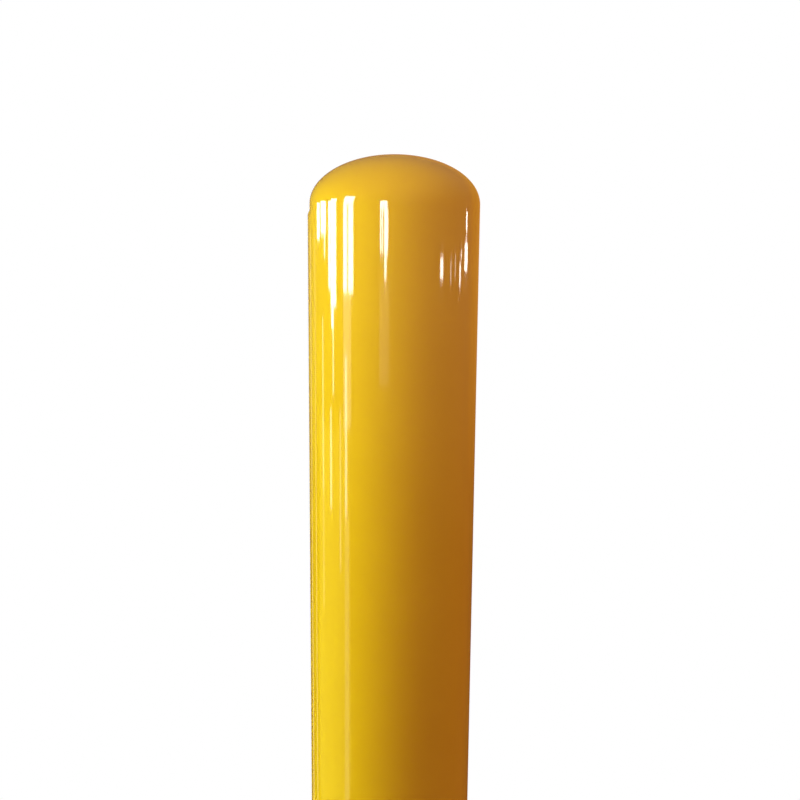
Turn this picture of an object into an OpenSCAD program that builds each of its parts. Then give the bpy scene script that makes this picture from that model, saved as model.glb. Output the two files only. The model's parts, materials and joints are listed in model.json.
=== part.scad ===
// Steel safety bollard: a capped steel post welded to a base plate, held to a concrete floor by four wedge anchors.
// Millimetres, +Z up. The origin is on the floor, at the middle of the anchor pattern.

/* [Post] */
// Height of the bollard above the floor
overall_h = 914; // [500:1:1200]
// Outside diameter of the post
post_od = 114.3; // [90:0.1:140]
// Wall thickness of the post
post_wall = 3; // [2:0.1:6]

/* [Dome cap] */
// Height of the dome above its straight skirt
dome_h = 32.4; // [20:0.1:50]
// Height of the straight skirt below the dome
cap_skirt = 4; // [2:0.1:12]
// Wall thickness of the pressed cap
cap_wall = 3; // [2:0.1:6]
// How far the cap's radius falls short of the post's
cap_short = 0.7; // [0.3:0.1:1.5]
// How far the cap was welded on off centre
cap_shift = 0.6; // [0:0.1:0.6]

/* [Welds] */
// Height of the butt weld between post and cap
cap_weld_h = 4; // [2:0.1:8]
// How far the root of the butt weld stands inside the post
root_h = 0.8; // [0.4:0.1:1.5]
// Leg of the fillet weld round the foot of the post
base_weld_leg = 6; // [3:0.1:9]

/* [Base plate] */
// Side of the square base plate
plate_side = 200; // [180:1:260]
// Thickness of the base plate
plate_t = 8; // [5:0.1:16]
// Radius of the plate's corners
plate_corner_r = 12; // [2:0.5:20]
// Diameter of the vent and drain hole under the post
vent_d = 40; // [10:1:70]
// Distance between the anchors, along each side
anchor_spacing = 150; // [140:1:160]

/* [Anchors] */
// Diameter of the anchor studs
stud_d = 12; // [10:0.5:14.5]
// Pitch of the anchor thread
pitch = 1.75; // [1.25:0.05:2.25]
// Depth of the threads
thread_depth = 0.95; // [0.6:0.01:1.3]
// How far the thread's crest falls short of the stud's plain shank
crest_drop = 0.08; // [0.01:0.01:0.12]
// How far the thread runs down below the plate's top
thread_below = 4.8; // [1:0.1:5]
// Depth of the anchors below the floor
embed = 74; // [60:1:100]
// How far a stud stands out above its nut
stud_proud = 7.2; // [2:0.1:12]
// How much wider the plate's holes are than the studs
hole_extra = 4; // [2:0.5:5]
// Turns of the nut from hand tight to fully set
set_turns = 3; // [1:0.5:4]
// Width of a nut across its flats
nut_af = 18; // [16:0.5:22]
// Height of a nut
nut_h = 10.8; // [6:0.1:14]
// Outside diameter of a flat washer
washer_od = 24; // [21:0.5:30]
// Thickness of a flat washer
washer_t = 2.5; // [1.5:0.1:4]
// Width of the lock washer's section
lock_w = 4; // [2.5:0.1:4.5]
// Thickness of the lock washer when it is squeezed flat
lock_t = 2.5; // [1.5:0.1:4]

/* [Expansion clips] */
// Length of a clip
clip_len = 15; // [11:0.5:20]
// Wall thickness of a clip
clip_wall = 1.3; // [0.8:0.1:1.6]
// How far the radius of a clip and of a cone's tip falls short of the stud's
clip_short = 0.2; // [0.2:0.05:0.4]
// Length of a clip's slits
clip_slit = 10; // [6:0.5:10.5]
// Widening of a stud's cone for each millimetre of its length
cone_slope = 0.1; // [0.05:0.01:0.14]

/* [Clearances] */
// Radial gap between a nut's bore and the thread's crest, and between a clip and its cone
run_gap = 0.05; // [0.02:0.01:0.1]
// Radial gap between a washer's bore and its stud
washer_gap = 0.5; // [0.2:0.1:1]
// Radial gap between a clip's bore and its stud's neck
neck_gap = 0.1; // [0.1:0.01:0.2]
// Gap between a clip's end and the shoulder it was pushed on from
clip_gap = 0.3; // [0.1:0.1:1]

/* [Hidden] */
$fn = 96;
hull_fn = 72;
eps = 0.01;
cut = 1; // how far a cutting shape runs past what it cuts

// Colours
paint = [0.96, 0.70, 0.08];
zinc = [0.78, 0.79, 0.80];
zinc_dark = [0.62, 0.63, 0.64];

// Post, cap and welds
post_r = post_od / 2;
post_bore_r = post_r - post_wall;
cap_r = post_r - cap_short;
dome_z = overall_h - dome_h;
cap_z = dome_z - cap_skirt;
seam_z = cap_z - cap_weld_h;
dome_steps = 32;
weld_steps = 4;
fillet_back = 2; // how far the fillet weld's arc is centred behind its corner

// Anchors: heights are for studs drawn fully home
stud_r = stud_d / 2;
crest_r = stud_r - crest_drop;
thread_r = crest_r - thread_depth;
hole_d = stud_d + hole_extra;
washer_z = plate_t;
lock_z = washer_z + washer_t;
nut_z = lock_z + lock_t;
stud_top = nut_z + nut_h + stud_proud;
stud_chamfer = 1.2;
thread_end = plate_t - thread_below;
crest = pitch / 8; // the flat on top of each thread
root = pitch / 4; // and the flat between two
lock_split = 1.2; // the gap between a lock washer's ends
lock_lean = 20; // the slant of that gap, in degrees
nut_rim = 0.94; // radius of a nut's flat end, as a share of half its width across flats

// Wedge end of a stud
draw = set_turns * pitch;
clip_r = stud_r - clip_short; // a clip goes down the same drilled hole as its stud
clip_bore_r = clip_r - clip_wall;
neck_r = clip_bore_r - neck_gap;
tip_r = clip_r;
tip_h = 3;
tip_chamfer = 0.8;
cone_h = (tip_r - neck_r) / cone_slope;
cone_top = -embed + tip_h + cone_h;
flare = draw * cone_slope; // what a fully set cone adds to a clip's radius
mouth_z = cone_top - draw - (neck_gap - run_gap) / cone_slope;
clip_top = mouth_z + clip_len;
shoulder_z = clip_top + draw + clip_gap;
slits = 3;
slit_w = 1.4;
seam_w = 0.7; // the gap where a rolled clip's ends meet

corners = [[1, 1], [-1, 1], [-1, -1], [1, -1]];
nut_angles = [8, 51, 27, 40]; // where each nut came to rest
split_angles = [35, 160, 250, 305]; // where each lock washer is split

function ellipse_arc(rx, rz, steps) =
    [for (i = [0:steps]) [rx * cos(90 * i / steps), rz * sin(90 * i / steps)]];

// Half section of one wall of the cap, filled down to z
module dome_section(r, rise, z) {
    polygon(concat([[0, z], [r, z]], ellipse_arc(r, rise, dome_steps)));
}

module post_tube() {
    color(paint)
    translate([0, 0, plate_t])
    difference() {
        cylinder(r = post_r, h = seam_z - plate_t);
        translate([0, 0, -cut]) cylinder(r = post_bore_r, h = seam_z - plate_t + 2 * cut);
    }
}

module dome_cap() {
    color(paint)
    translate([cap_shift, 0, dome_z])
    rotate_extrude()
    difference() {
        dome_section(cap_r, dome_h, -cap_skirt);
        dome_section(cap_r - cap_wall, dome_h - cap_wall, -cap_skirt - cut);
    }
}

// Butt weld, ground to run from the post's circle to the cap's own circle, which lies off centre
module cap_weld() {
    flush = cap_weld_h / 3;
    color(paint)
    difference() {
        hull() {
            translate([0, 0, seam_z]) cylinder(r = post_r, h = flush, $fn = hull_fn);
            for (i = [1:weld_steps]) {
                turn = 90 * i / weld_steps;
                toward_cap = 1 - cos(turn);
                translate([cap_shift * toward_cap, 0, seam_z + flush + (cap_weld_h - flush) * sin(turn) - eps])
                    cylinder(r = post_r - cap_short * toward_cap, h = eps, $fn = hull_fn);
            }
        }
        translate([cap_shift / 2, 0, seam_z - cut])
            cylinder(r = post_bore_r - root_h, h = cap_weld_h + 2 * cut);
    }
}

module base_plate() {
    inner = plate_side / 2 - plate_corner_r;
    color(paint)
    linear_extrude(plate_t)
    difference() {
        union() {
            square([plate_side, 2 * inner], center = true);
            square([2 * inner, plate_side], center = true);
            for (c = corners) translate(inner * c) circle(r = plate_corner_r);
        }
        circle(d = vent_d);
        for (c = corners) translate(anchor_spacing / 2 * c) circle(d = hole_d);
    }
}

// Fillet weld with a slightly full face
module base_weld() {
    arc_r = sqrt(pow(base_weld_leg + fillet_back, 2) + pow(fillet_back, 2));
    color(paint)
    translate([0, 0, plate_t])
    rotate_extrude()
    translate([post_r, 0])
    intersection() {
        square(base_weld_leg);
        translate([-fillet_back, -fillet_back]) circle(r = arc_r);
    }
}

// Half section of a stud, from its tip up to the thread and back down the axis
function stud_outline() = concat(
    [
        [0, -embed],
        [tip_r - tip_chamfer, -embed],
        [tip_r, -embed + tip_chamfer],
        [tip_r, -embed + tip_h],
        [neck_r, cone_top],
        [neck_r, shoulder_z],
        [stud_r, shoulder_z + stud_r - neck_r]
    ],
    [[stud_r, thread_end], [crest_r, thread_end]],
    [for (z = [thread_end : pitch : stud_top - stud_chamfer - pitch], p = [
        [crest_r, z + crest / 2],
        [thread_r, z + (pitch - root) / 2],
        [thread_r, z + (pitch + root) / 2],
        [crest_r, z + pitch - crest / 2]
    ]) p],
    [[crest_r, stud_top - stud_chamfer], [crest_r - stud_chamfer, stud_top], [0, stud_top]]
);

module anchor_stud() {
    color(zinc) rotate_extrude() polygon(stud_outline());
}

// Sheet clip rolled round the neck, its fingers pushed out by the cone
module expansion_clip() {
    color(zinc_dark)
    translate([0, 0, mouth_z])
    difference() {
        rotate_extrude()
        polygon([
            [clip_bore_r + flare, 0],
            [clip_r + flare, 0],
            [clip_r, clip_slit],
            [clip_r, clip_len],
            [clip_bore_r, clip_len],
            [clip_bore_r, clip_slit]
        ]);
        for (i = [0:slits - 1])
            rotate(360 / slits * i)
            translate([0, -slit_w / 2, -cut])
            cube([stud_d, slit_w, clip_slit + cut]);
        rotate(180 / slits)
        translate([0, -seam_w / 2, -cut])
        cube([stud_d, seam_w, clip_len + 2 * cut]);
    }
}

module flat_washer() {
    color(zinc)
    translate([0, 0, washer_z])
    difference() {
        cylinder(d = washer_od, h = washer_t);
        translate([0, 0, -cut]) cylinder(r = stud_r + washer_gap, h = washer_t + 2 * cut);
    }
}

module lock_washer() {
    bore_r = stud_r + washer_gap / 2;
    color(zinc_dark)
    translate([0, 0, lock_z])
    difference() {
        cylinder(r = bore_r + lock_w, h = lock_t);
        translate([0, 0, -cut]) cylinder(r = bore_r, h = lock_t + 2 * cut);
        translate([bore_r + lock_w / 2, 0, lock_t / 2])
            rotate([lock_lean, 0, 0])
            cube([lock_w * 2, lock_split, lock_t * 3], center = true);
    }
}

module anchor_nut() {
    rim_r = nut_af / 2 * nut_rim;
    bore_r = crest_r + run_gap;
    lead_in = thread_depth;
    color(zinc)
    translate([0, 0, nut_z])
    difference() {
        intersection() {
            cylinder(r = nut_af / 2 / cos(30), h = nut_h, $fn = 6);
            rotate_extrude()
            polygon([
                [0, 0],
                [rim_r, 0],
                [rim_r + nut_h / 2, nut_h / 2 * tan(30)],
                [rim_r + nut_h / 2, nut_h - nut_h / 2 * tan(30)],
                [rim_r, nut_h],
                [0, nut_h]
            ]);
        }
        translate([0, 0, -cut]) cylinder(r = bore_r, h = nut_h + 2 * cut);
        translate([0, 0, -eps]) cylinder(r1 = bore_r + lead_in, r2 = bore_r, h = lead_in);
        translate([0, 0, nut_h - lead_in + eps]) cylinder(r1 = bore_r, r2 = bore_r + lead_in, h = lead_in);
    }
}

module at_anchor(i) {
    translate(anchor_spacing / 2 * corners[i - 1]) children();
}

post_tube();
dome_cap();
cap_weld();
base_plate();
base_weld();
for (i = [1:4]) {
    at_anchor(i) anchor_stud();
    at_anchor(i) rotate(split_angles[i - 1]) expansion_clip();
    at_anchor(i) flat_washer();
    at_anchor(i) rotate(split_angles[i - 1]) lock_washer();
    at_anchor(i) rotate(nut_angles[i - 1]) anchor_nut();
}
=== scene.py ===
import json
import math

import bmesh
import bpy
from mathutils import Matrix, Vector

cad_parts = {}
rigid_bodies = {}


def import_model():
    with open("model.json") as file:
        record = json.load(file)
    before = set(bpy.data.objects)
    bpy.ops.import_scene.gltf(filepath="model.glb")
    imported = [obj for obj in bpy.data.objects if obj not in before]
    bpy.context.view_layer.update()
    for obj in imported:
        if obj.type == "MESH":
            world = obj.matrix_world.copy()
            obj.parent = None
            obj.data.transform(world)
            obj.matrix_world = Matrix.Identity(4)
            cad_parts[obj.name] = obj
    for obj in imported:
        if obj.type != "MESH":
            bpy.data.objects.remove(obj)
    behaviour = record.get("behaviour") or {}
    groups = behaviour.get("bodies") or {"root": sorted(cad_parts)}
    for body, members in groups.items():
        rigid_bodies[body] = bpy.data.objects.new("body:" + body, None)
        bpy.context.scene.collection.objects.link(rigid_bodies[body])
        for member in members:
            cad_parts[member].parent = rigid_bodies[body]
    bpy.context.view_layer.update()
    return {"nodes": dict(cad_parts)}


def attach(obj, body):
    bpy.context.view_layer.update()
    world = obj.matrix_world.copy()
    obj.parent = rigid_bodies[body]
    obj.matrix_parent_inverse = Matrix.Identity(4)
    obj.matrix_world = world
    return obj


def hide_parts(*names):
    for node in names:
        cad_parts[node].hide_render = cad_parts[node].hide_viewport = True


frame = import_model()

mm = 0.001
print("frame loaded:", len(frame["nodes"]), "CAD nodes")


def deselectAll():
    if bpy.context.object and bpy.context.object.mode != "OBJECT":
        bpy.ops.object.mode_set(mode="OBJECT")
    bpy.ops.object.select_all(action="DESELECT")


def selectOnly(piece):
    deselectAll()
    piece.select_set(True)
    bpy.context.view_layer.objects.active = piece


def selectVerts(piece, test):
    # in edit mode: selects the vertices whose place passes the test, and what lies between them
    mesh = bmesh.from_edit_mesh(piece.data)
    for vert in mesh.verts:
        vert.select = test(vert.co)
    mesh.select_mode = {"VERT"}
    mesh.select_flush_mode()
    bmesh.update_edit_mesh(piece.data)


def applyModifier(piece, kind, **settings):
    selectOnly(piece)
    modifier = piece.modifiers.new(kind.title(), kind)
    for key, value in settings.items():
        setattr(modifier, key, value)
    bpy.ops.object.modifier_apply(modifier=modifier.name)


def applyPlace(piece):
    selectOnly(piece)
    bpy.ops.object.transform_apply(location=True, rotation=True, scale=True)


def tidyMesh(piece, merge=1e-6):
    # doubles merged, then the faces turned outwards
    selectOnly(piece)
    bpy.ops.object.mode_set(mode="EDIT")
    bpy.ops.mesh.select_all(action="SELECT")
    bpy.ops.mesh.remove_doubles(threshold=merge)
    bpy.ops.mesh.normals_make_consistent(inside=False)
    bpy.ops.object.mode_set(mode="OBJECT")


def smoothMesh(piece, angle=30):
    selectOnly(piece)
    bpy.ops.object.shade_smooth_by_angle(angle=math.radians(angle))


def boolean(piece, operation, cutter):
    applyModifier(piece, "BOOLEAN", operation=operation, object=cutter, solver="EXACT")
    bpy.data.objects.remove(cutter)


poleRadius = 0.05     # of the last ring at a pole, before it is merged into a point


def ringStack(name, rings, segments, poles=()):
    # a circle is extruded from ring to ring, all in millimetres:
    # each ring is (radius, height) or (radius, height, centre x)
    rings = [(ring[0] * mm, ring[1] * mm, ring[2] * mm if len(ring) > 2 else 0) for ring in rings]
    radius, height, middle = rings[0]
    deselectAll()
    bpy.ops.mesh.primitive_circle_add(vertices=segments, radius=radius, location=(middle, 0, height))
    piece = bpy.context.object
    piece.name = name
    bpy.ops.object.mode_set(mode="EDIT")
    bpy.ops.mesh.select_all(action="SELECT")
    for newRadius, newHeight, newMiddle in rings[1:]:
        step = (newMiddle - middle, 0, newHeight - height)
        bpy.ops.mesh.extrude_region_move(TRANSFORM_OT_translate={"value": step})
        size = newRadius / radius
        centre = (newMiddle, 0, newHeight)
        bpy.ops.transform.resize(value=(size, size, 1), center_override=centre)
        radius, height, middle = newRadius, newHeight, newMiddle
    bpy.ops.object.mode_set(mode="OBJECT")
    applyPlace(piece)
    bpy.ops.object.mode_set(mode="EDIT")
    for index in poles:
        ringRadius, ringHeight, ringMiddle = rings[index]
        selectVerts(piece, lambda co: abs(co.z - ringHeight) < 1e-6
                    and math.hypot(co.x - ringMiddle, co.y) < ringRadius * 1.01)
        bpy.ops.mesh.merge(type="CENTER")
    tidyMesh(piece)
    return piece


def arcRings(centre, size, start, end, steps):
    # (radius, height) points along an arc of an ellipse, from one angle to another in degrees
    angles = [math.radians(start + (end - start) * step / steps) for step in range(steps + 1)]
    return [(centre[0] + size[0] * math.cos(angle), centre[1] + size[1] * math.sin(angle))
            for angle in angles]


def boxPiece(name, size, centre, turn=(0, 0, 0)):
    deselectAll()
    bpy.ops.mesh.primitive_cube_add(size=1, location=[c * mm for c in centre],
                                    rotation=[math.radians(angle) for angle in turn])
    piece = bpy.context.object
    piece.name = name
    piece.scale = [s * mm for s in size]
    applyPlace(piece)
    return piece


def copyAt(piece, name, place, turn=0):
    # a copy with its own mesh, turned about its own axis and then moved
    selectOnly(piece)
    bpy.ops.object.duplicate(linked=False)
    copy = bpy.context.object
    copy.name = name
    copy.rotation_euler = (0, 0, math.radians(turn))
    copy.location = place
    applyPlace(copy)
    return copy


def finishPiece(piece, node, body, material):
    piece.data.materials.clear()
    piece.data.materials.append(material)
    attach(piece, body)
    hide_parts(node)


class Wire:
    # a socket of a node tree: sums and products on it add Math nodes
    def __init__(self, tree, socket=None):
        self.tree = tree
        self.socket = socket

    def add(self, kind, settings=None, sockets=None, output=0):
        node = self.tree.nodes.new(kind)
        for key, value in (settings or {}).items():
            setattr(node, key, value)
        for key, value in (sockets or {}).items():
            if isinstance(value, Wire):
                self.tree.links.new(value.socket, node.inputs[key])
            else:
                node.inputs[key].default_value = value
        return Wire(self.tree, node.outputs[output] if node.outputs else None)

    def math(self, operation, first, second):
        return self.add("ShaderNodeMath", {"operation": operation}, {0: first, 1: second})

    def __add__(self, other):
        return self.math("ADD", self, other)

    def __radd__(self, other):
        return self.math("ADD", other, self)

    def __mul__(self, other):
        return self.math("MULTIPLY", self, other)

    def __rmul__(self, other):
        return self.math("MULTIPLY", other, self)


def newMaterial(name):
    material = bpy.data.materials.new(name)
    material.use_nodes = True
    material.node_tree.nodes.clear()
    return material, Wire(material.node_tree)


def objectPlace(wire):
    return wire.add("ShaderNodeTexCoord", output=3)


def noise(wire, place, scale, detail=2.0, roughness=0.5):
    return wire.add("ShaderNodeTexNoise", None, {
        "Vector": place, "Scale": scale, "Detail": detail, "Roughness": roughness})


def ramp(wire, value, low, high, newLow=0.0, newHigh=1.0):
    # a soft step from newLow to newHigh while the value goes from low to high
    return wire.add("ShaderNodeMapRange", {"interpolation_type": "SMOOTHSTEP"}, {
        "Value": value, "From Min": low, "From Max": high, "To Min": newLow, "To Max": newHigh})


def mixColour(wire, share, first, second):
    return wire.add("ShaderNodeMix", {"data_type": "RGBA"}, {
        0: share, 6: first, 7: second}, output=2)


def bump(wire, height):
    # the height is in metres
    return wire.add("ShaderNodeBump", None, {"Strength": 1.0, "Distance": 1.0, "Height": height})


paint = {
    "colour": (0.93, 0.47, 0.02, 1),
    "thinColour": (0.84, 0.40, 0.014, 1),   # where the powder lies thinner
    "dustColour": (0.46, 0.36, 0.20, 1),
    "roughness": 0.034,
    "gloss": 1.75,                          # index of refraction, high for a hard shiny coat
    "peelScale": 420,                       # dimples of about 2.4 mm
    "peelHeight": 2.4e-6,
    "waveScale": 22,
    "waveHeight": 14e-6,
    "cloudScale": 9.0,                      # slow changes of tone
    "speckScale": 900.0,
    "dustFoot": 0.006,                      # dust thins out from here up to dustTop
    "dustTop": 0.035,
    "dust": 0.10,
}


def yellowPaint():
    material, wire = newMaterial("yellowPowderCoat")
    place = objectPlace(wire)
    peel = noise(wire, place, paint["peelScale"], 1.5)
    wave = noise(wire, place, paint["waveScale"], 2.0)
    cloud = noise(wire, place, paint["cloudScale"], 3.0)
    speck = noise(wire, place, paint["speckScale"], 2.0, 0.6)
    height = wire.add("ShaderNodeSeparateXYZ", None, {"Vector": place}, output=2)
    foot = ramp(wire, height, paint["dustFoot"], paint["dustTop"], 1.0, 0.0)
    dust = foot * ramp(wire, cloud * 0.6 + speck * 0.4, 0.40, 0.72) * paint["dust"]
    tint = mixColour(wire, ramp(wire, cloud, 0.35, 0.70, 0.0, 0.35), paint["colour"], paint["thinColour"])
    colour = mixColour(wire, dust, tint, paint["dustColour"])
    shine = paint["roughness"] + 0.012 * cloud + 0.02 * speck * speck + 0.4 * dust
    shader = wire.add("ShaderNodeBsdfPrincipled", None, {
        "Base Color": colour,
        "Roughness": shine,
        "IOR": paint["gloss"],
        "Normal": bump(wire, peel * paint["peelHeight"] + wave * paint["waveHeight"]),
    })
    wire.add("ShaderNodeOutputMaterial", None, {"Surface": shader})
    return material


steel = {"cloudScale": 160.0, "spotScale": 700.0, "spotFrom": 0.10, "spotTo": 0.34}


def platedSteel(name, colour, darkColour, roughness, grain, grainHeight):
    # thin zinc or plain steel: cloudy tone, fine grain and small dull spots
    material, wire = newMaterial(name)
    place = objectPlace(wire)
    cloud = noise(wire, place, steel["cloudScale"], 4.0, 0.6)
    fine = noise(wire, place, grain, 3.0, 0.6)
    spots = wire.add("ShaderNodeTexVoronoi", {"feature": "F1"}, {
        "Vector": place, "Scale": steel["spotScale"]})
    dull = ramp(wire, spots, steel["spotFrom"], steel["spotTo"], 1.0, 0.0) * ramp(wire, cloud, 0.45, 0.70)
    colourNow = mixColour(wire, ramp(wire, cloud, 0.30, 0.72, 0.0, 0.8), colour, darkColour)
    shader = wire.add("ShaderNodeBsdfPrincipled", None, {
        "Base Color": colourNow,
        "Metallic": 1.0,
        "Roughness": roughness + 0.14 * cloud + 0.08 * fine + 0.08 * dull,
        "Normal": bump(wire, fine * grainHeight),
    })
    wire.add("ShaderNodeOutputMaterial", None, {"Surface": shader})
    return material


def paleFloor(inner, outer):
    # seen only from above, and fading out at its edge
    material, wire = newMaterial("paleFloor")
    place = objectPlace(wire)
    distance = wire.add("ShaderNodeVectorMath", {"operation": "LENGTH"}, {0: place}, output=1)
    fade = ramp(wire, distance, inner, outer, 1.0, 0.0)
    grit = noise(wire, place, 260.0, 4.0, 0.6)
    tone = mixColour(wire, grit, (0.74, 0.74, 0.73, 1), (0.82, 0.82, 0.81, 1))
    shader = wire.add("ShaderNodeBsdfPrincipled", None, {
        "Base Color": tone, "Roughness": 0.8, "Alpha": fade, "Normal": bump(wire, grit * 8e-5)})
    clear = wire.add("ShaderNodeBsdfTransparent")
    under = wire.add("ShaderNodeNewGeometry", output=6)
    both = wire.add("ShaderNodeMixShader", None, {0: under, 1: shader, 2: clear})
    wire.add("ShaderNodeOutputMaterial", None, {"Surface": both})
    return material


yellow = yellowPaint()
zinc = platedSteel("zincPlate", (0.66, 0.67, 0.68, 1), (0.50, 0.51, 0.52, 1), 0.16, 2200.0, 3e-6)
springSteel = platedSteel("springSteel", (0.46, 0.47, 0.49, 1), (0.33, 0.34, 0.36, 1), 0.24, 1800.0, 4e-6)
clipSteel = platedSteel("clipSteel", (0.40, 0.40, 0.41, 1), (0.27, 0.27, 0.28, 1), 0.30, 1500.0, 6e-6)
print("materials made")


camera = {
    "place": (0.0, -0.6967, 0.8725),
    "pitchDown": 9.996,
    "yawRight": 0.422,
    "roll": 0.485,
    "lens": 46.36,
}


def makeCamera():
    data = bpy.data.cameras.new("camera")
    data.sensor_width = 36
    data.lens = camera["lens"]
    data.clip_start = 0.01
    data.dof.use_dof = False
    holder = bpy.data.objects.new("camera", data)
    bpy.context.scene.collection.objects.link(holder)
    turn = (Matrix.Rotation(math.radians(-camera["yawRight"]), 4, "Z")
            @ Matrix.Rotation(math.radians(90 - camera["pitchDown"]), 4, "X")
            @ Matrix.Rotation(math.radians(camera["roll"]), 4, "Z"))
    holder.matrix_world = Matrix.Translation(camera["place"]) @ turn
    bpy.context.scene.camera = holder


makeCamera()


post = {
    "radius": 57.15,
    "bore": 54.15,
    "foot": 8.0,
    "top": 873.6,
    "segments": 256,
    "rings": 24,          # rings up the wall, so that its faces stay near square
    "seamAngle": 97.0,    # where the tube's own weld runs up its inside
    "seamHalf": 1.6,
    "seamHeight": 0.45,
}


def makePost():
    wall = [(post["radius"], post["foot"] + (post["top"] - post["foot"]) * i / post["rings"])
            for i in range(post["rings"] + 1)]
    inside = [(post["bore"], height) for radius, height in reversed(wall)]
    piece = ringStack("postTube", wall + inside + wall[:1], post["segments"])
    # the low bead that the tube mill leaves inside
    selectOnly(piece)
    bpy.ops.object.mode_set(mode="EDIT")
    half = math.radians(post["seamHalf"])
    angle = math.radians(post["seamAngle"])
    selectVerts(piece, lambda co: math.hypot(co.x, co.y) < (post["bore"] + 0.5) * mm
                and abs(math.atan2(co.y, co.x) - angle) < half)
    inward = Vector((-math.cos(angle), -math.sin(angle), 0)) * post["seamHeight"] * mm
    bpy.ops.transform.translate(value=inward)
    bpy.ops.object.mode_set(mode="OBJECT")
    smoothMesh(piece)
    finishPiece(piece, "post_tube", "post", yellow)


cap = {
    "radius": 57.15,      # flush with the post in front
    "wall": 3.0,
    "innerRadius": 53.45,
    "shift": 0.6,         # of the inside, towards +X
    "skirtFoot": 877.6,
    "springLine": 881.6,
    "rise": 32.4,
    "fullness": 2.01,     # 2 would be a plain ellipse
    "lean": 1.0,          # how far the crown leans to +X
    "steps": 56,
    "lastAngle": 89.7,    # of the last ring below the pole
    "boreMargin": 0.8,    # whatever is this close to the inside keeps its place
    # how far the cap stands in from the post's face at each bearing, counted from -Y towards +X
    "drawIn": [(-180, 0.7), (-125, 1.05), (-88, 1.3), (-60, 0), (105, 0), (180, 0.7)],
}


def capDraw(x, y):
    bearing = math.degrees(math.atan2(x, -y))
    stops = cap["drawIn"]
    for (low, first), (high, second) in zip(stops, stops[1:]):
        if bearing <= high:
            share = min(max((bearing - low) / (high - low), 0), 1)
            return first + (second - first) * share * share * (3 - 2 * share)
    return stops[-1][1]


def makeCap():
    power = 2 / cap["fullness"]
    outer = [(cap["radius"], cap["skirtFoot"]), (cap["radius"], cap["skirtFoot"] + 2)]
    for radius, rise in arcRings((0, 0), (1, 1), 0, cap["lastAngle"], cap["steps"]):
        outer.append((cap["radius"] * radius ** power, cap["springLine"] + cap["rise"] * rise ** power))
    inner = arcRings((0, cap["springLine"]), (cap["innerRadius"], cap["rise"] - cap["wall"]),
                     cap["lastAngle"], 0, cap["steps"])
    inner += [(cap["innerRadius"], cap["skirtFoot"])]
    inner = [(radius, height, cap["shift"]) for radius, height in inner]
    top = cap["springLine"] + cap["rise"]
    # from the pole of the inside down to the rim, and up the outside to its pole
    rings = [(poleRadius, top - cap["wall"], cap["shift"])] + inner + outer + [(poleRadius, top)]
    piece = ringStack("domeCap", rings, post["segments"], poles=(0, len(rings) - 1))
    for vert in piece.data.vertices:
        radius = math.hypot(vert.co.x, vert.co.y) / mm
        up = max(vert.co.z / mm - cap["springLine"], 0) / cap["rise"]
        bore = math.hypot(radius / (cap["innerRadius"] + cap["boreMargin"]), up / (1 - 2 / cap["rise"]))
        if bore < 1:
            continue
        size = 1 - capDraw(vert.co.x, vert.co.y) / cap["radius"]
        vert.co.x = vert.co.x * size + cap["lean"] * up * up * mm
        vert.co.y = vert.co.y * size
    smoothMesh(piece, 40)
    finishPiece(piece, "dome_cap", "post", yellow)


capWeld = {
    "foot": 873.6,
    "flush": 0.6,         # the part of its height that still follows the post
    "height": 4.0,
    "bore": 53.35,
    "steps": 12,
}


def makeCapWeld():
    # ground flush in front; where the cap stands in, the weld rounds over to it
    start = capWeld["foot"] + capWeld["flush"]
    rise = capWeld["height"] - capWeld["flush"]
    heights = [capWeld["foot"]]
    heights += [start + rise * i / capWeld["steps"] for i in range(capWeld["steps"] + 1)]
    rings = [(post["radius"], height, 0) for height in heights]
    middle = cap["shift"] / 2
    rings += [(capWeld["bore"], heights[-1], middle), (capWeld["bore"], heights[0], middle)]
    piece = ringStack("capWeld", rings + rings[:1], post["segments"])
    for vert in piece.data.vertices:
        if math.hypot(vert.co.x, vert.co.y) < (post["radius"] - 1) * mm:
            continue
        share = max(vert.co.z / mm - heights[1], 0) / rise
        over = 1 - math.cos(min(share, 1) ** 0.8 * math.pi / 2)
        size = 1 - capDraw(vert.co.x, vert.co.y) * over / post["radius"]
        vert.co.x *= size
        vert.co.y *= size
    smoothMesh(piece, 40)
    finishPiece(piece, "cap_weld", "post", yellow)


makePost()
makeCap()
makeCapWeld()
print("post, cap and cap weld made")


plate = {
    "side": 200.0,
    "thick": 8.0,
    "cornerRadius": 12.0,
    "cornerSteps": 14,
    "edge": 0.7,          # rounding of every edge under the powder
    "vent": 20.0,
    "ventSides": 96,
    "hole": 8.0,
    "holeSides": 64,
    "cut": (-3, 12),      # from below the plate to above it
    "spacing": 150.0,
}
corners = [(1, 1), (-1, 1), (-1, -1), (1, -1)]


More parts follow.
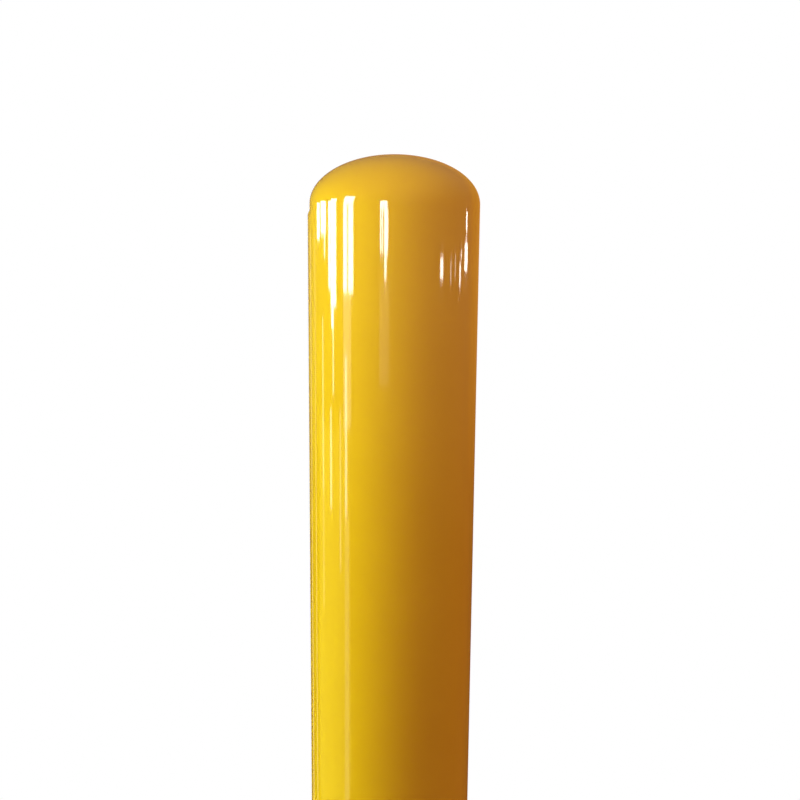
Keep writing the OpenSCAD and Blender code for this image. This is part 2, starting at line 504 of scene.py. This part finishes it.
def makePlate():
    piece = boxPiece("basePlate", (plate["side"], plate["side"], plate["thick"]), (0, 0, plate["thick"] / 2))
    selectOnly(piece)
    bpy.ops.object.mode_set(mode="EDIT")
    mesh = bmesh.from_edit_mesh(piece.data)
    for edge in mesh.edges:
        edge.select = abs(edge.verts[0].co.z - edge.verts[1].co.z) > 1e-4
    bmesh.update_edit_mesh(piece.data)
    bpy.ops.mesh.bevel(offset=plate["cornerRadius"] * mm, segments=plate["cornerSteps"])
    bpy.ops.object.mode_set(mode="OBJECT")
    half = plate["spacing"] / 2
    cuts = [(0, 0, plate["vent"], plate["ventSides"])]
    cuts += [(half * sx, half * sy, plate["hole"], plate["holeSides"]) for sx, sy in corners]
    low, high = plate["cut"]
    for x, y, radius, sides in cuts:
        cutter = ringStack("cutter", [(radius, low), (radius, high)], sides)
        selectOnly(cutter)
        bpy.ops.object.mode_set(mode="EDIT")
        bpy.ops.mesh.select_all(action="SELECT")
        bpy.ops.mesh.fill_holes(sides=0)
        bpy.ops.object.mode_set(mode="OBJECT")
        cutter.location = (x * mm, y * mm, 0)
        applyPlace(cutter)
        tidyMesh(cutter)
        boolean(piece, "DIFFERENCE", cutter)
    tidyMesh(piece)
    applyModifier(piece, "BEVEL", width=plate["edge"] * mm, segments=4, limit_method="ANGLE",
                  angle_limit=math.radians(40), use_clamp_overlap=False)
    smoothMesh(piece, 35)
    applyModifier(piece, "WEIGHTED_NORMAL", keep_sharp=True, weight=80)
    finishPiece(piece, "base_plate", "post", yellow)


bead = {
    "leg": 6.0,
    "back": 2.0,          # the face's arc is centred this far behind the corner
    "segments": 720,
    "faceSteps": 9,
    "ripples": 132,       # one for each 2.7 mm of travel
    "ripple": 0.26,
    "lag": 0.030,         # how far a ripple's middle trails its toes, in radians
    "sway": 0.22,
    "starts": (-0.35, 2.75),     # where a run begins, in radians
    "startHalf": 0.07,
    "startHeight": 0.22,
    "level": 0.6,         # lifts the weights clear of zero
}


def makeBead():
    # profile from the post's face round to the plate, then back through the corner
    reach = math.hypot(bead["leg"] + bead["back"], bead["back"])
    low = math.degrees(math.asin(bead["back"] / reach))
    corner = (post["radius"], plate["thick"])
    face = arcRings((corner[0] - bead["back"], corner[1] - bead["back"]), (reach, reach),
                    90 - low, low, bead["faceSteps"])
    rings = face + [corner, face[0]]
    piece = ringStack("baseWeld", rings, bead["segments"])
    faceAngle = math.radians(90 - 2 * low)
    group = piece.vertex_groups.new(name="ripples")
    for vert in piece.data.vertices:
        out = math.hypot(vert.co.x, vert.co.y) / mm - corner[0] + bead["back"]
        up = vert.co.z / mm - corner[1] + bead["back"]
        if math.hypot(out, up) < reach - 0.5:
            continue
        share = (math.atan2(up, out) - math.radians(low)) / faceAngle   # 0 at the plate, 1 at the post
        middle = math.sin(math.pi * min(max(share, 0), 1))
        angle = math.atan2(vert.co.y, vert.co.x)
        wave = (angle + bead["lag"] * middle) * bead["ripples"] / (2 * math.pi) % 1
        crest = 1 - (1 - wave) ** 2 * wave * 27 / 4     # steep at the front of each ripple, flat behind it
        sway = 0.5 + 0.25 * math.sin(7 * angle + 0.6) + 0.25 * math.sin(17 * angle + 2.1)
        weight = middle ** 0.6 * (bead["ripple"] * (crest - 1) - bead["sway"] * sway)
        for start in bead["starts"]:
            away = abs((angle - start + math.pi) % (2 * math.pi) - math.pi)
            if away < bead["startHalf"]:
                swell = math.cos(away / bead["startHalf"] * math.pi / 2)
                weight += middle * bead["startHeight"] * swell ** 2
        group.add([vert.index], min(max(weight + bead["level"], 0), 1), "REPLACE")
    smoothMesh(piece, 50)
    applyModifier(piece, "DISPLACE", vertex_group="ripples", strength=mm, mid_level=0.0)
    finishPiece(piece, "base_weld", "post", yellow)


makePlate()
makeBead()
print("base plate and its weld made")


# floor anchors: each piece is modelled once on the Z axis and copied to the four corners

stud = {
    "shank": 6.0,
    "crest": 5.92,
    "root": 4.97,
    "pitch": 1.75,
    "crestHalf": 0.11,
    "rootHalf": 0.66,     # half the width of a thread where it leaves its root
    "turns": 18,
    "steps": 48,
    "threadFoot": 1.6,
    "runOut": (2.2, 4.2),
    "top": 31.0,
    "chamfer": 1.2,
    "shankFoot": -40.5,
    "shoulder": -42.2,
    "neck": 4.4,
    "coneTop": -57.0,
    "tip": 5.8,
    "tipTop": -71.0,
    "foot": -74.0,
    "ease": 0.25,         # small chamfers
    "limit": 6.3,         # the envelope of the thread, clear of its crests
    "sink": 0.35,         # how far the thread's section reaches into the core
}


def threadRib(name, crest, inner, crestHalf, innerHalf):
    # a four-sided section beside the axis, screwed upwards round it
    deselectAll()
    bpy.ops.mesh.primitive_plane_add(size=1, rotation=(math.pi / 2, 0, 0))
    rib = bpy.context.object
    rib.name = name
    applyPlace(rib)
    for vert in rib.data.vertices:
        outer = vert.co.x > 0
        half = math.copysign(crestHalf if outer else innerHalf, vert.co.z)
        vert.co = ((crest if outer else inner) * mm, 0, half * mm)
    bpy.ops.object.mode_set(mode="EDIT")
    bpy.ops.mesh.select_all(action="SELECT")
    bpy.ops.mesh.delete(type="ONLY_FACE")
    bpy.ops.object.mode_set(mode="OBJECT")
    applyModifier(rib, "SCREW", angle=2 * math.pi, screw_offset=stud["pitch"] * mm, iterations=stud["turns"],
                  steps=stud["steps"], render_steps=stud["steps"], axis="Z", use_merge_vertices=False)
    rib.location.z = stud["threadFoot"] * mm
    applyPlace(rib)
    bpy.ops.object.mode_set(mode="EDIT")
    bpy.ops.mesh.select_all(action="SELECT")
    bpy.ops.mesh.remove_doubles(threshold=1e-7)
    bpy.ops.mesh.fill_holes(sides=4)
    bpy.ops.mesh.normals_make_consistent(inside=False)
    bpy.ops.object.mode_set(mode="OBJECT")
    return rib


def solidRings(name, rings, segments):
    # a turned solid, closed by a pole at each end
    rings = [(poleRadius, rings[0][1])] + rings + [(poleRadius, rings[-1][1])]
    return ringStack(name, rings, segments, poles=(0, len(rings) - 1))


def makeStud():
    shank, root, top, neck, tip = stud["shank"], stud["root"], stud["top"], stud["neck"], stud["tip"]
    ease, limit, sink = stud["ease"], stud["limit"], stud["sink"]
    rings = [(tip - 0.8, stud["foot"]), (tip, stud["foot"] + 0.8), (tip, stud["tipTop"]),
             (neck, stud["coneTop"]), (neck, stud["shoulder"]),
             (shank - ease, stud["shankFoot"] - 0.35), (shank, stud["shankFoot"])]
    rings += [(shank, -30), (shank, -20), (shank, -10), (shank, 1.9), (shank - 0.3, 2.2), (root, 3.2)]
    # the end face dips a little in the middle
    rings += [(root, 12), (root, 21), (root, top - ease), (root - ease, top), (2.6, top), (1.1, top - 0.12)]
    body = solidRings("studBody", rings, 64)
    low, high = stud["runOut"]
    chamferFoot = top - stud["chamfer"] - (limit - stud["crest"])
    envelope = solidRings("envelope", [(root - 0.1, low), (limit, high), (limit, chamferFoot),
                                       (stud["crest"] - stud["chamfer"], top)], 64)
    flank = (stud["rootHalf"] - stud["crestHalf"]) / (stud["crest"] - root)
    rib = threadRib("studThread", stud["crest"], root - sink, stud["crestHalf"],
                    stud["rootHalf"] + sink * flank)
    boolean(rib, "INTERSECT", envelope)
    boolean(body, "UNION", rib)
    tidyMesh(body, 2e-6)
    smoothMesh(body, 28)
    return body


nut = {
    "acrossFlats": 18.0,
    "foot": 13.0,
    "height": 10.8,
    "rim": 8.46,
    "edge": 0.18,
    "bore": 5.06,         # clears the stud's roots
    "leadIn": 6.65,
    "clear": 0.09,        # round the stud's crests
    "flankClear": 0.05,
}


def makeNut():
    foot, top = nut["foot"], nut["foot"] + nut["height"]
    acrossCorners = nut["acrossFlats"] / math.cos(math.pi / 6)
    deselectAll()
    bpy.ops.mesh.primitive_cylinder_add(vertices=6, radius=acrossCorners / 2 * mm,
                                        depth=nut["height"] * mm, location=(0, 0, (foot + top) / 2 * mm),
                                        rotation=(0, 0, math.pi / 6))
    body = bpy.context.object
    applyPlace(body)
    bpy.ops.object.mode_set(mode="EDIT")
    mesh = bmesh.from_edit_mesh(body.data)
    for edge in mesh.edges:
        edge.select = abs(edge.verts[0].co.z - edge.verts[1].co.z) > 1e-4
    bmesh.update_edit_mesh(body.data)
    bpy.ops.mesh.bevel(offset=nut["edge"] * mm, segments=3)
    bpy.ops.object.mode_set(mode="OBJECT")
    # a turned shape with 30 degree chamfers takes the corners off
    slope = math.tan(math.radians(30))
    wide = nut["rim"] + 3
    turned = solidRings("turned", [(nut["rim"], foot - 0.01), (wide, foot + 3 * slope),
                                   (wide, top - 3 * slope), (nut["rim"], top + 0.01)], 96)
    boolean(body, "INTERSECT", turned)
    lead = (nut["leadIn"] - nut["bore"]) * 0.8
    bore = solidRings("bore", [(nut["leadIn"], foot - 2), (nut["leadIn"], foot),
                               (nut["bore"], foot + lead), (nut["bore"], top - lead),
                               (nut["leadIn"], top), (nut["leadIn"], top + 2)], 64)
    boolean(body, "DIFFERENCE", bore)
    flank = (stud["rootHalf"] - stud["crestHalf"]) / (stud["crest"] - stud["root"])
    crest = stud["crest"] + nut["clear"]
    inner = nut["bore"] - 0.4
    rib = threadRib("nutThread", crest, inner, stud["crestHalf"] + nut["flankClear"],
                    stud["crestHalf"] + nut["flankClear"] + (crest - inner) * flank)
    boolean(body, "DIFFERENCE", rib)
    tidyMesh(body, 2e-6)
    smoothMesh(body, 28)
    return body


washer = {"bore": 6.5, "radius": 12.0, "foot": 8.0, "thick": 2.5, "rolled": 0.45, "burr": 0.12}


def makeFlatWasher():
    # a stamped washer: its upper edges are rolled over by the die, its lower ones are sharp
    foot, top = washer["foot"], washer["foot"] + washer["thick"]
    rolled, burr = washer["rolled"], washer["burr"]
    rolledInside = rolled * 0.7
    outside = arcRings((washer["radius"] - rolled, top - rolled), (rolled, rolled), 0, 90, 5)
    inside = arcRings((washer["bore"] + rolledInside, top - rolledInside), (rolledInside, rolledInside),
                      90, 180, 4)
    rings = [(washer["radius"] - burr, foot), (washer["radius"], foot + burr)] + outside + inside
    rings += [(washer["bore"], foot + burr), (washer["bore"] + burr, foot)]
    piece = ringStack("flatWasher", rings + rings[:1], 96)
    smoothMesh(piece, 28)
    return piece


lock = {"bore": 6.25, "width": 4.0, "foot": 10.5, "thick": 2.5, "edge": 0.3, "split": 1.2, "lean": 20}


def makeLockWasher():
    # rolled from square wire, squeezed flat, its ends a slanted gap apart
    foot, top, edge = lock["foot"], lock["foot"] + lock["thick"], lock["edge"]
    inner, outer = lock["bore"], lock["bore"] + lock["width"]
    rings = arcRings((outer - edge, foot + edge), (edge, edge), -90, 0, 3)
    rings += arcRings((outer - edge, top - edge), (edge, edge), 0, 90, 3)
    rings += arcRings((inner + edge, top - edge), (edge, edge), 90, 180, 3)
    rings += arcRings((inner + edge, foot + edge), (edge, edge), 180, 270, 3)
    piece = ringStack("lockWasher", rings + rings[:1], 96)
    gap = boxPiece("gap", (lock["width"] * 2, lock["split"], lock["thick"] * 3),
                   (inner + lock["width"] / 2, 0, (foot + top) / 2), (lock["lean"], 0, 0))
    boolean(piece, "DIFFERENCE", gap)
    tidyMesh(piece, 2e-6)
    smoothMesh(piece, 28)
    return piece


clip = {"bore": 4.5, "wall": 1.3, "mouth": -62.75, "length": 15.0, "slit": 10.0, "slitWidth": 1.4,
        "flare": 0.525, "seam": 0.7, "edge": 0.15}


def makeClip():
    # rolled from strip, with three fingers that the cone has pushed out
    bore, outer, flare, edge = clip["bore"], clip["bore"] + clip["wall"], clip["flare"], clip["edge"]
    mouth, root, top = clip["mouth"], clip["mouth"] + clip["slit"], clip["mouth"] + clip["length"]
    rings = [(bore + flare, mouth), (outer + flare - edge, mouth), (outer + flare, mouth + edge)]
    rings += [(outer + flare * (1 - share), mouth + clip["slit"] * share) for share in (0.3, 0.6, 0.85)]
    rings += [(outer, root), (outer, top - edge), (outer - edge, top), (bore, top), (bore, root)]
    piece = ringStack("expansionClip", rings + rings[:1], 72)
    reach = stud["shank"] * 2
    for angle in (0, 120, 240):
        turn = math.radians(angle)
        slit = boxPiece("slit", (reach, clip["slitWidth"], clip["slit"] + 1),
                        (math.cos(turn) * reach / 2, math.sin(turn) * reach / 2,
                         root - (clip["slit"] + 1) / 2), (0, 0, angle))
        boolean(piece, "DIFFERENCE", slit)
    turn = math.radians(60)
    seam = boxPiece("seam", (reach, clip["seam"], clip["length"] + 2),
                    (math.cos(turn) * reach / 2, math.sin(turn) * reach / 2, (mouth + top) / 2), (0, 0, 60))
    boolean(piece, "DIFFERENCE", seam)
    tidyMesh(piece, 2e-6)
    smoothMesh(piece, 28)
    return piece


turns = {"nut": (8, 51, 27, 40), "split": (35, 160, 250, 305)}
kinds = [
    # maker, name, CAD node, body, slot, material, turned with the nut or with the split
    (makeStud, "anchorStud", "anchor_stud", "stud_", "zinc_plate", zinc, "nut"),
    (makeClip, "expansionClip", "expansion_clip", "post", "clip_steel", clipSteel, "split"),
    (makeFlatWasher, "flatWasher", "flat_washer", "post", "zinc_plate", zinc, "split"),
    (makeLockWasher, "lockWasher", "lock_washer", "post", "spring_steel", springSteel, "split"),
    (makeNut, "anchorNut", "anchor_nut", "nut_", "zinc_plate", zinc, "nut"),
]
for maker, name, node, body, slot, material, turnedWith in kinds:
    master = maker()
    master.name = name + "Master"
    for index, (sx, sy) in enumerate(corners):
        number = index + 1
        place = (sx * plate["spacing"] / 2 * mm, sy * plate["spacing"] / 2 * mm, 0)
        copy = copyAt(master, f"{name}{number}", place, turns[turnedWith][index])
        bodyName = body if body == "post" else f"{body}{number}"
        finishPiece(copy, f"{node}_{number}", bodyName, material)
    bpy.data.objects.remove(master)
    print(name, "made")


# window panes and other bright things round the post, seen in its gloss:
# bearing from -Y towards +X from and to, elevation from and to, radiance
panes = [
    (-149.0, -146.5, -34.0, -0.5, 0.8),
    (-131.0, -128.8, -34.0, -0.3, 0.7),
    (-122.0, -115.3, -1.2, 2.0, 13),
    (-112.0, -100.7, -0.9, 5.5, 13),
    (-105.0, -102.5, -2.2, -0.9, 8),
    (-109.8, -107.4, -15.5, -5.6, 2.2),
    (-109.6, -107.6, -22.0, -15.5, 0.8),
    (-95.7, -92.3, -4.0, 7.0, 13),
    (-91.6, -81.2, -5.1, 13.0, 13),
    (-90.5, -86.0, -6.2, -5.1, 13),
    (-88.2, -85.8, -10.0, -6.2, 4),
    (-93.4, -90.2, -16.5, -10.8, 3.2),
    (-75.6, -73.6, -20.0, -10.8, 1.4),
    (-69.3, -63.4, -4.2, 1.2, 13),
    (-61.9, -54.1, -4.2, 1.2, 13),
    (-68.8, -54.1, 1.2, 23.0, 13),
    (-69.3, -57.5, -12.0, -4.2, 1.2),
    (-66.9, -63.4, -17.0, -7.8, 3.4),
    (-67.0, -60.5, -34.0, -17.0, 0.5),
    (-17.6, -16.2, -2.0, 0.5, 13),
    (-15.3, -13.8, -2.0, 0.5, 13),
    (-12.3, -7.2, -2.0, 0.5, 13),
    (-11.7, -9.0, -3.5, -2.0, 11),
    (-17.6, -8.4, 0.5, 10.0, 13),
    (-18.0, -5.0, -9.5, -3.6, 0.4),
    (63.9, 68.6, -3.4, -2.2, 13),
    (80.6, 82.4, -3.6, -2.3, 4),
    (88.8, 90.3, -3.3, -2.0, 3.5),
    (97.6, 100.6, -3.8, -2.5, 9),
    (100.2, 102.2, -2.2, -1.8, 9),
    (110.8, 113.4, -0.6, 0.4, 12),
    (108.5, 115.5, -2.9, -1.4, 12),
    (111.2, 113.2, -1.4, -0.6, 5),
]
paneColour = (1.0, 1.0, 0.97)
paneDistance = 20.0
focus = Vector((0, 0, 0.88))


def makeLamp(name, outward, distance, size, radiance, colour):
    data = bpy.data.lights.new(name, "AREA")
    data.shape = "RECTANGLE"
    data.size, data.size_y = size
    data.energy = radiance * math.pi * size[0] * size[1]
    data.color = colour
    lamp = bpy.data.objects.new(name, data)
    bpy.context.scene.collection.objects.link(lamp)
    lamp.location = focus + outward * distance
    lamp.rotation_euler = outward.to_track_quat("Z", "Y").to_euler()
    lamp.visible_camera = False
    return lamp


def direction(bearing, elevation):
    azimuth = math.radians(bearing)
    tilt = math.radians(elevation)
    return Vector((math.sin(azimuth) * math.cos(tilt), -math.cos(azimuth) * math.cos(tilt), math.sin(tilt)))


def makePane(name, left, right, low, high, radiance, colour):
    # seen in the gloss only: the fills do the lighting
    outward = direction((left + right) / 2, (low + high) / 2)
    size = (paneDistance * math.radians(right - left), paneDistance * math.radians(high - low))
    lamp = makeLamp(name, outward, paneDistance, size, radiance, colour)
    lamp.visible_diffuse = False


for index, pane in enumerate(panes):
    makePane(f"pane{index}", *pane, paneColour)
# the lit ground on the left, whose edge shows down the post
glow = (-120.0, -57.5, -36.0, -12.0, 0.5)
glowColour = (0.9, 1.0, 0.25)
makePane("glow", *glow, glowColour)

# soft lamps that light the post's paint but aren't seen in it, and leave the floor alone:
# bearing, elevation, distance, width, height, radiance, colour
fills = [
    (-80, -40, 1.1, 0.6, 0.6, 8.6, (0.60, 1.0, 0.0)),
    (-65, 15, 0.6, 0.4, 0.25, 6.8, (0.60, 1.0, 0.3)),
    (-50, 15, 0.6, 0.4, 0.25, 3.0, (0.82, 1.0, 0.56)),
    (-60, 62, 0.6, 0.3, 0.2, 2.0, (1.0, 0.95, 0.6)),
    (15, 15, 0.6, 0.4, 0.25, 4.4, (0.56, 0.58, 1.0)),
    (115, -15, 0.9, 0.4, 0.4, 2.0, (1.0, 0.60, 0.40)),
]
upright = bpy.data.collections.new("upright")
for name in ("postTube", "domeCap", "capWeld"):
    upright.objects.link(bpy.data.objects[name])
for index, (bearing, elevation, distance, width, height, radiance, colour) in enumerate(fills):
    outward = direction(bearing, elevation)
    lamp = makeLamp(f"fill{index}", outward, distance, (width, height), radiance, colour)
    lamp.visible_glossy = False
    lamp.light_linking.receiver_collection = upright

# a soft box over the foot, for the floor, the plate and the anchors
softBox = {"height": 1.7, "size": 0.9, "radiance": 11.0, "colour": (1.0, 0.97, 0.94)}
lamp = makeLamp("softBox", Vector((0, 0, 1)), softBox["height"], (softBox["size"], softBox["size"]),
                softBox["radiance"], softBox["colour"])
lit = bpy.data.collections.new("underSoftBox")
lamp.light_linking.receiver_collection = lit

sky = {
    "left": (0.240, 0.150, 0.130, 1),
    "right": (0.280, 0.150, 0.120, 1),
    "zenith": (0.300, 0.220, 0.200, 1),
    "below": (0.200, 0.075, 0.020, 1),
    "neighbour": (0.700, 0.320, 0.050, 1),   # another yellow thing behind on the right
}


def makeWorld():
    world = bpy.data.worlds.new("studio")
    bpy.context.scene.world = world
    world.use_nodes = True
    world.node_tree.nodes.clear()
    wire = Wire(world.node_tree)
    way = wire.add("ShaderNodeTexCoord", output=0)
    across = wire.add("ShaderNodeSeparateXYZ", None, {"Vector": way}, output=0)
    back = wire.add("ShaderNodeSeparateXYZ", None, {"Vector": way}, output=1)
    up = wire.add("ShaderNodeSeparateXYZ", None, {"Vector": way}, output=2)
    level = mixColour(wire, ramp(wire, across, -0.9, 0.5), sky["left"], sky["right"])
    behind = ramp(wire, across * 0.45 + back * 0.9, 0.78, 0.97)
    level = mixColour(wire, behind, level, sky["neighbour"])
    level = mixColour(wire, ramp(wire, up, 0.1, 0.9), level, sky["zenith"])
    level = mixColour(wire, ramp(wire, up, -0.35, 0.0, 1.0, 0.0), level, sky["below"])
    dim = wire.add("ShaderNodeBackground", None, {"Color": level, "Strength": 1.0})
    white = wire.add("ShaderNodeBackground", None, {"Color": (1, 1, 1, 1), "Strength": 1.0})
    seen = wire.add("ShaderNodeLightPath")
    both = wire.add("ShaderNodeMixShader", None, {0: seen, 1: dim, 2: white})
    wire.add("ShaderNodeOutputWorld", None, {"Surface": both})


makeWorld()

floor = {"radius": 0.65, "fadeFrom": 0.36}


def makeFloor():
    deselectAll()
    bpy.ops.mesh.primitive_circle_add(vertices=96, radius=floor["radius"], fill_type="TRIFAN")
    piece = bpy.context.object
    piece.name = "floor"
    piece.data.materials.append(paleFloor(floor["fadeFrom"], floor["radius"]))
    return piece


lit.objects.link(makeFloor())
for piece in bpy.context.scene.objects:
    if piece.name.startswith(("basePlate", "baseWeld", "anchor", "flatWasher", "lockWasher", "expansion")):
        lit.objects.link(piece)
bpy.context.scene.view_settings.view_transform = "Standard"
print("stage, lights and camera made")
